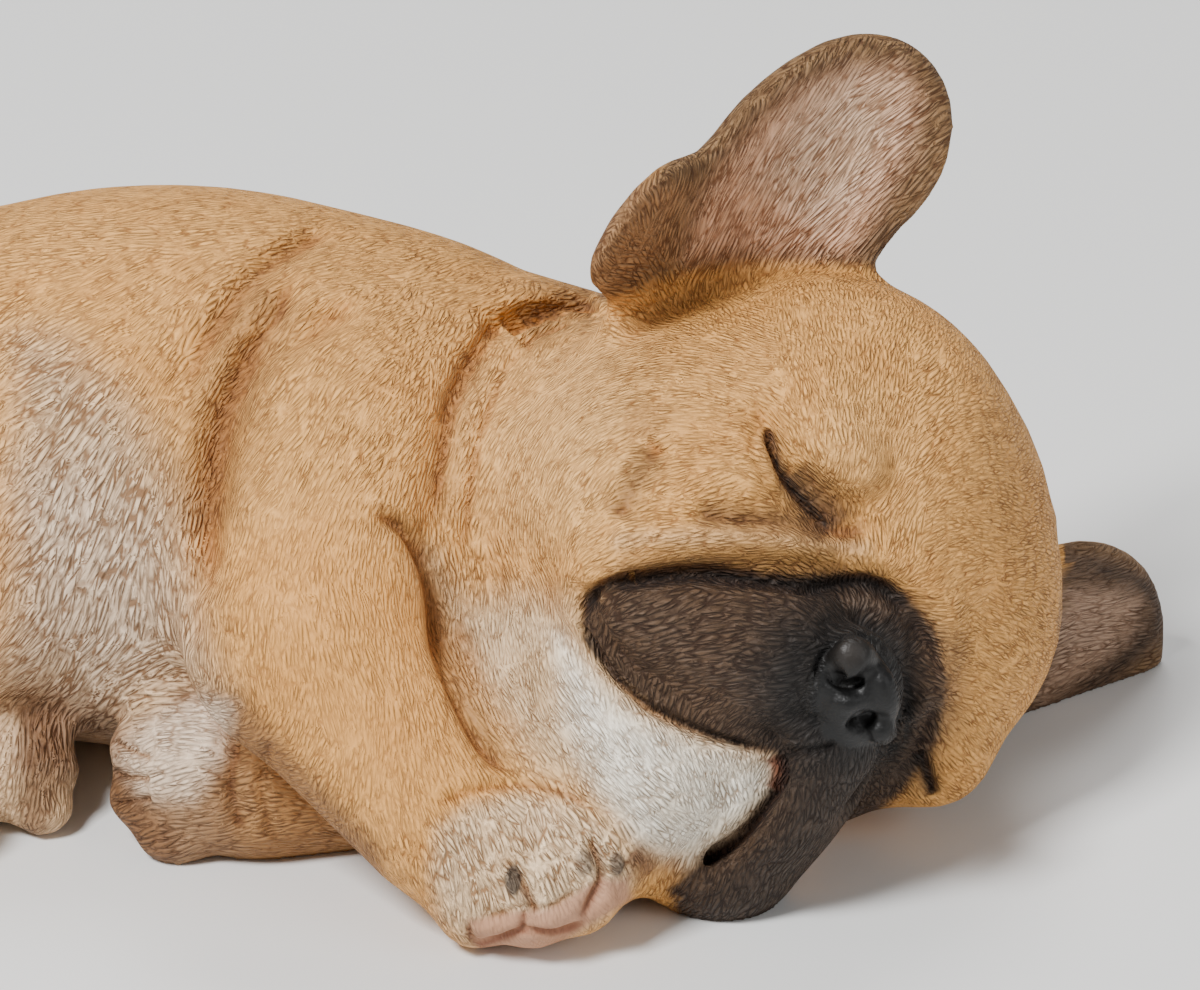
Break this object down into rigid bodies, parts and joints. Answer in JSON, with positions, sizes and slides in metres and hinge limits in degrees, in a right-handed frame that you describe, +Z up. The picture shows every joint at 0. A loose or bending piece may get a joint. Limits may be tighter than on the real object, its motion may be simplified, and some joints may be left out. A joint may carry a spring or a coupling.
{
  "type": "french bulldog figurine",
  "caption": "Life-size sleeping French bulldog puppy ornament, one resin casting lying on its side with its chin by its paw, resting on a flat underside.",
  "frame": {"origin": "centre of the bounding box in plan, on the flat underside", "axes": "+X from the tail to the head, +Y from the belly to the back, +Z up from the surface that the figure lies on"},
  "size_m": [0.3088, 0.1664, 0.1479],
  "materials": {
    "resin": "hand-painted cast resin, fawn with a brown wash in the carved fur, cream belly and paws, dark muzzle, satin black nose"
  },
  "bodies": {
    "root": {"french_bulldog": "resin"}
  },
  "joints": []
}
